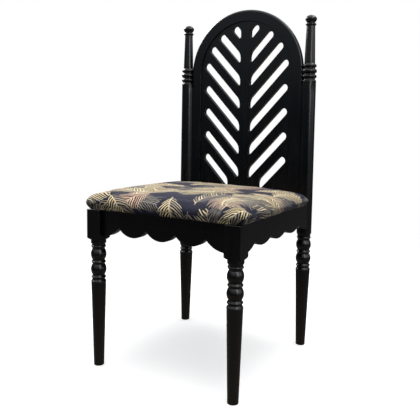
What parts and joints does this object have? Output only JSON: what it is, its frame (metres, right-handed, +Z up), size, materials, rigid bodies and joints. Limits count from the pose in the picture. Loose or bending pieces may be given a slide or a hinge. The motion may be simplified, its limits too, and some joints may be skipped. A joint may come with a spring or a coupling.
{
  "type": "side chair",
  "caption": "Side chair with turned legs and posts, scalloped aprons, an arched pierced back panel and a loose upholstered seat.",
  "frame": {"origin": "on the floor, under the middle of the chair's box", "axes": "+Z up; the chair faces -Y, with its back towards +Y and its right-hand side, seen from the front, towards +X"},
  "size_m": [0.486, 0.5026, 1.0304],
  "materials": {
    "black_paint": "satin black paint over hardwood",
    "bare_wood": "bare beech",
    "plywood": "bare plywood",
    "zinc_steel": "zinc plated",
    "foam": "open-cell foam",
    "seat_fabric": "printed woven cotton, palm leaves on slate blue",
    "dust_cloth": "black non-woven"
  },
  "bodies": {
    "root": {"front_leg_left": "black_paint", "front_leg_right": "black_paint", "rear_post_left": "black_paint", "rear_post_right": "black_paint", "front_apron": "black_paint", "rear_apron": "black_paint", "side_apron_left": "black_paint", "side_apron_right": "black_paint", "back_panel": "black_paint", "corner_brace_front_left": "black_paint", "corner_brace_front_right": "black_paint", "corner_brace_rear_left": "black_paint", "corner_brace_rear_right": "black_paint", "apron_dowels": "bare_wood", "panel_dowels": "bare_wood", "brace_screws": "zinc_steel", "seat_screws": "zinc_steel", "seat_board": "plywood", "seat_foam": "foam", "seat_cover": "seat_fabric", "dust_cover": "dust_cloth", "cover_staples": "zinc_steel"}
  },
  "joints": []
}
